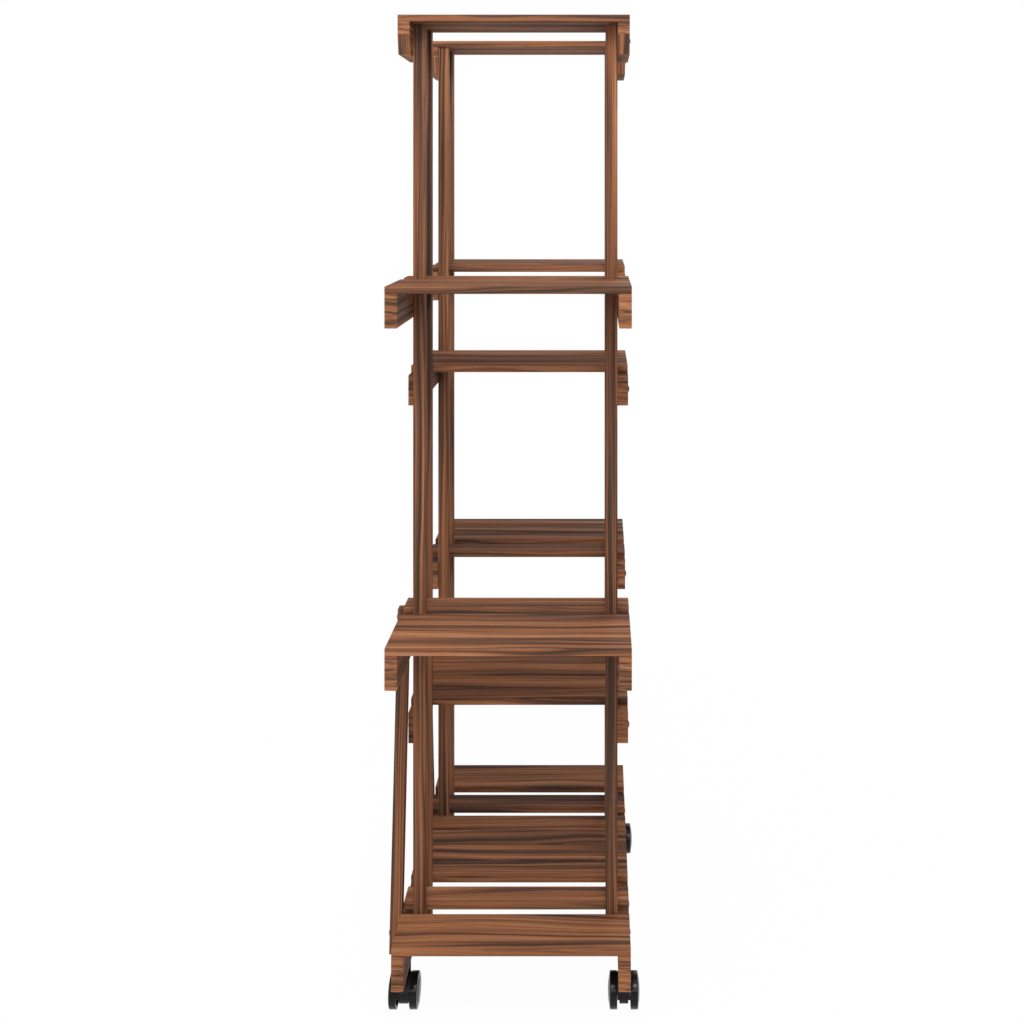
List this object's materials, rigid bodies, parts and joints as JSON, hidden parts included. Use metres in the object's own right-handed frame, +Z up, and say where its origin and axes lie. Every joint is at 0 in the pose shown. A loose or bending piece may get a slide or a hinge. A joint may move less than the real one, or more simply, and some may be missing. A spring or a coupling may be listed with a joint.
{
  "type": "rolling plant stand",
  "caption": "Tall slatted wooden plant stand with staggered side and centre shelves on square posts, slanted front braces and swivelling twin-wheel casters.",
  "frame": {"origin": "on the floor, under the middle of the stand's bounding box", "axes": "+X to the right end (the picture's near end), -Y to the braced front, +Z up"},
  "size_m": [0.4424, 0.2566, 1],
  "materials": {
    "post_wood": "streaked, satin",
    "rail_wood": "streaked, satin",
    "bearer_wood": "streaked, satin",
    "brace_wood": "streaked, satin",
    "slat_wood": "streaked, satin",
    "screw_steel": "dark zinc",
    "caster_steel": "zinc",
    "housing_plastic": "moulded, matt",
    "wheel_plastic": "moulded, glossy"
  },
  "bodies": {
    "frame": {"rail_front": "rail_wood", "rail_back": "rail_wood", "post_front_right_outer": "post_wood", "post_front_right_inner": "post_wood", "post_front_left_outer": "post_wood", "post_front_left_inner": "post_wood", "post_back_right_outer": "post_wood", "post_back_right_inner": "post_wood", "post_back_left_outer": "post_wood", "post_back_left_inner": "post_wood", "bearer_top_right_front": "bearer_wood", "bearer_top_right_back": "bearer_wood", "bearer_top_left_front": "bearer_wood", "bearer_top_left_back": "bearer_wood", "bearer_upper_right_front": "bearer_wood", "bearer_upper_right_back": "bearer_wood", "bearer_upper_left_front": "bearer_wood", "bearer_upper_left_back": "bearer_wood", "bearer_upper_centre_front": "bearer_wood", "bearer_upper_centre_back": "bearer_wood", "bearer_lower_right_front": "bearer_wood", "bearer_lower_right_back": "bearer_wood", "bearer_lower_left_front": "bearer_wood", "bearer_lower_left_back": "bearer_wood", "bearer_lower_centre_front": "bearer_wood", "bearer_lower_centre_back": "bearer_wood", "brace_right": "brace_wood", "brace_left": "brace_wood", "slats_base": "slat_wood", "slats_top_right": "slat_wood", "slats_top_left": "slat_wood", "slats_upper_right": "slat_wood", "slats_upper_left": "slat_wood", "slats_upper_centre": "slat_wood", "slats_lower_right": "slat_wood", "slats_lower_left": "slat_wood", "slats_lower_centre": "slat_wood", "screws_top": "screw_steel", "screws_side": "screw_steel", "screws_centre": "screw_steel", "screws_rail": "screw_steel", "screws_brace": "screw_steel", "caster_stems": "caster_steel"},
    "caster_front_right": {"caster_housing_front_right": "housing_plastic", "caster_axle_front_right": "caster_steel"},
    "wheel_front_right_outer": {"wheel_front_right_outer": "wheel_plastic"},
    "wheel_front_right_inner": {"wheel_front_right_inner": "wheel_plastic"},
    "caster_front_left": {"caster_housing_front_left": "housing_plastic", "caster_axle_front_left": "caster_steel"},
    "wheel_front_left_outer": {"wheel_front_left_outer": "wheel_plastic"},
    "wheel_front_left_inner": {"wheel_front_left_inner": "wheel_plastic"},
    "caster_back_right": {"caster_housing_back_right": "housing_plastic", "caster_axle_back_right": "caster_steel"},
    "wheel_back_right_outer": {"wheel_back_right_outer": "wheel_plastic"},
    "wheel_back_right_inner": {"wheel_back_right_inner": "wheel_plastic"},
    "caster_back_left": {"caster_housing_back_left": "housing_plastic", "caster_axle_back_left": "caster_steel"},
    "wheel_back_left_outer": {"wheel_back_left_outer": "wheel_plastic"},
    "wheel_back_left_inner": {"wheel_back_left_inner": "wheel_plastic"}
  },
  "joints": [
    {"name": "swivel_front_right", "type": "hinge", "parent": "frame", "child": "caster_front_right", "pos_m": [0.132, -0.1087, 0.0408], "axis": [0, 0, 1], "continuous": true},
    {"name": "spin_front_right_outer", "type": "hinge", "parent": "caster_front_right", "child": "wheel_front_right_outer", "pos_m": [0.14, -0.1087, 0.0166], "axis": [0, 1, 0], "continuous": true},
    {"name": "spin_front_right_inner", "type": "hinge", "parent": "caster_front_right", "child": "wheel_front_right_inner", "pos_m": [0.14, -0.1087, 0.0166], "axis": [0, 1, 0], "continuous": true},
    {"name": "swivel_front_left", "type": "hinge", "parent": "frame", "child": "caster_front_left", "pos_m": [-0.132, -0.1087, 0.0408], "axis": [0, 0, 1], "continuous": true},
    {"name": "spin_front_left_outer", "type": "hinge", "parent": "caster_front_left", "child": "wheel_front_left_outer", "pos_m": [-0.14, -0.1087, 0.0166], "axis": [0, 1, 0], "continuous": true},
    {"name": "spin_front_left_inner", "type": "hinge", "parent": "caster_front_left", "child": "wheel_front_left_inner", "pos_m": [-0.14, -0.1087, 0.0166], "axis": [0, 1, 0], "continuous": true},
    {"name": "swivel_back_right", "type": "hinge", "parent": "frame", "child": "caster_back_right", "pos_m": [0.132, 0.1123, 0.0408], "axis": [0, 0, 1], "continuous": true},
    {"name": "spin_back_right_outer", "type": "hinge", "parent": "caster_back_right", "child": "wheel_back_right_outer", "pos_m": [0.14, 0.1123, 0.0166], "axis": [0, 1, 0], "continuous": true},
    {"name": "spin_back_right_inner", "type": "hinge", "parent": "caster_back_right", "child": "wheel_back_right_inner", "pos_m": [0.14, 0.1123, 0.0166], "axis": [0, 1, 0], "continuous": true},
    {"name": "swivel_back_left", "type": "hinge", "parent": "frame", "child": "caster_back_left", "pos_m": [-0.132, 0.1123, 0.0408], "axis": [0, 0, 1], "continuous": true},
    {"name": "spin_back_left_outer", "type": "hinge", "parent": "caster_back_left", "child": "wheel_back_left_outer", "pos_m": [-0.14, 0.1123, 0.0166], "axis": [0, 1, 0], "continuous": true},
    {"name": "spin_back_left_inner", "type": "hinge", "parent": "caster_back_left", "child": "wheel_back_left_inner", "pos_m": [-0.14, 0.1123, 0.0166], "axis": [0, 1, 0], "continuous": true}
  ]
}
